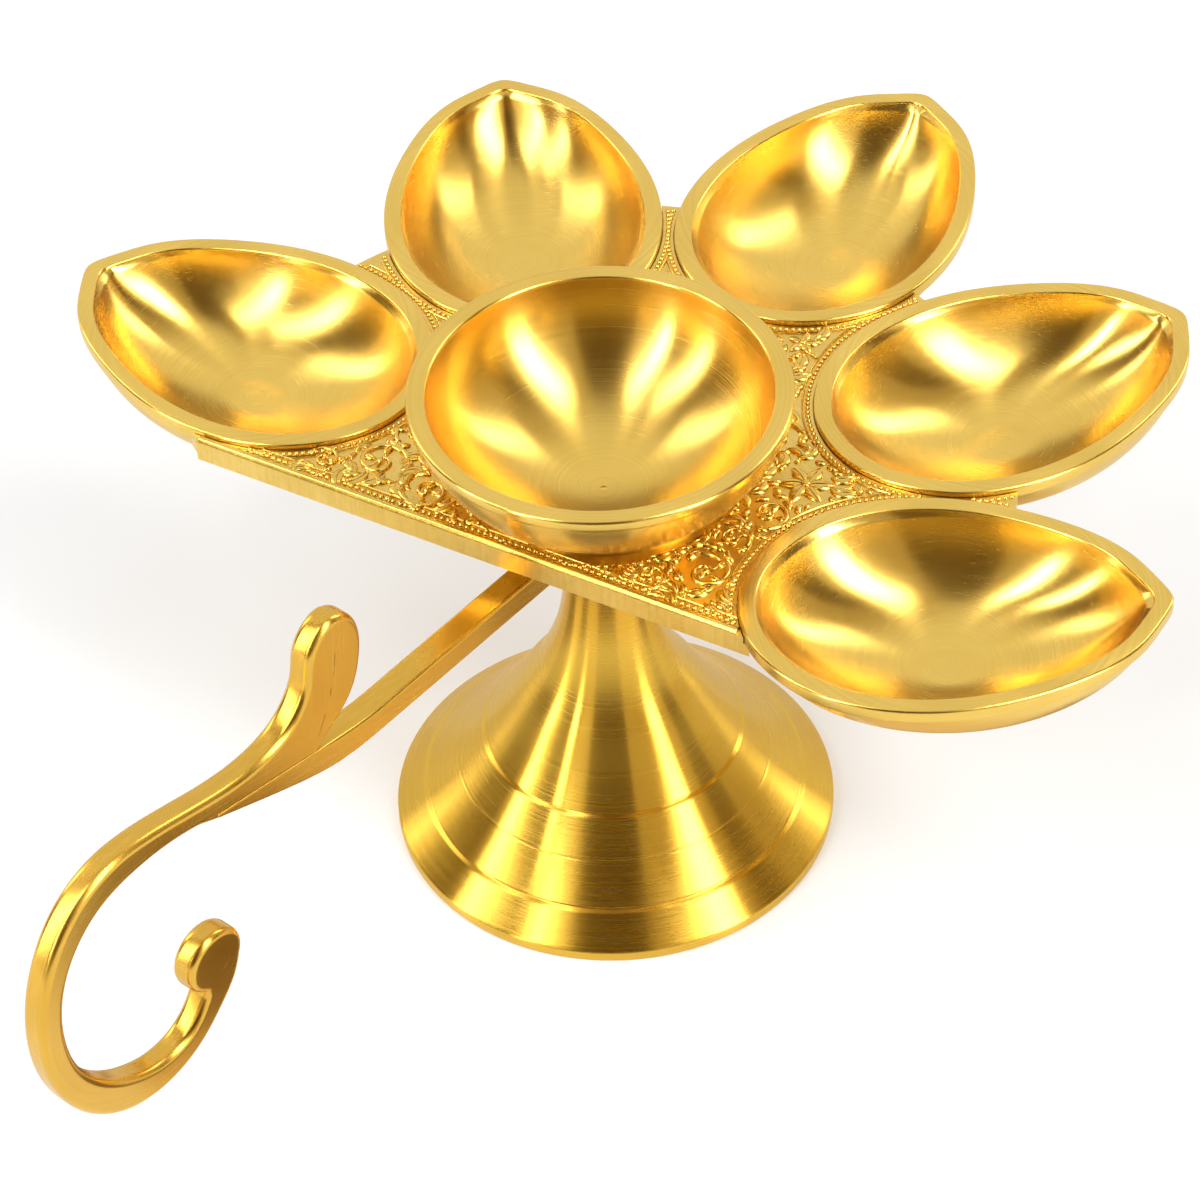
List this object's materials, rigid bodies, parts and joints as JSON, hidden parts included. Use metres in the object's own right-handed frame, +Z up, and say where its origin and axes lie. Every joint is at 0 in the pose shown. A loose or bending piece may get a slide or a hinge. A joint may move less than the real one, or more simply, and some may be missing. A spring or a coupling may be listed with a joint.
{
  "type": "brass aarti lamp",
  "caption": "Hand-held brass aarti lamp: leaf-shaped wick bowls fanned round a raised centre bowl on an ornamented plate, with a turned pedestal and a scrolled side handle.",
  "frame": {"origin": "on the pedestal's axis, in the plane of the floor it stands on", "axes": "+Z up along the pedestal's axis; the handle points to -Y and the fan of bowls opens to +Y"},
  "size_m": [0.191, 0.2394, 0.0944],
  "materials": {
    "turned_brass": "lathe-turned and buffed, fine rings round the axis",
    "bowl_brass": "cast, buffed bright inside with a brushed flat lip",
    "ornament_brass": "cast vine relief and beads, darker in the recesses",
    "handle_brass": "cast, polished along its length",
    "fastener_brass": "machined"
  },
  "bodies": {
    "pedestal": {"pedestal": "turned_brass", "clamp_washer": "fastener_brass"},
    "tray": {"tray_plate": "ornament_brass", "petal_bowl_left_outer": "bowl_brass", "petal_bowl_left_inner": "bowl_brass", "petal_bowl_middle": "bowl_brass", "petal_bowl_right_inner": "bowl_brass", "petal_bowl_right_outer": "bowl_brass", "centre_bowl": "turned_brass", "tie_stud": "fastener_brass"},
    "handle": {"handle_bar": "handle_brass", "handle_scroll": "handle_brass"},
    "clamp_nut": {"clamp_nut": "fastener_brass"}
  },
  "joints": [
    {"name": "tray_turn", "type": "hinge", "parent": "pedestal", "child": "tray", "pos_m": [0, 0, 0.0645], "axis": [0, 0, 1], "continuous": true},
    {"name": "handle_swing", "type": "hinge", "parent": "tray", "child": "handle", "pos_m": [0, 0, 0.0645], "axis": [0, 0, 1], "range_deg": [-45, 55]},
    {"name": "clamp_nut_turn", "type": "hinge", "parent": "tray", "child": "clamp_nut", "pos_m": [0, 0, 0.03], "axis": [0, 0, 1], "continuous": true}
  ]
}
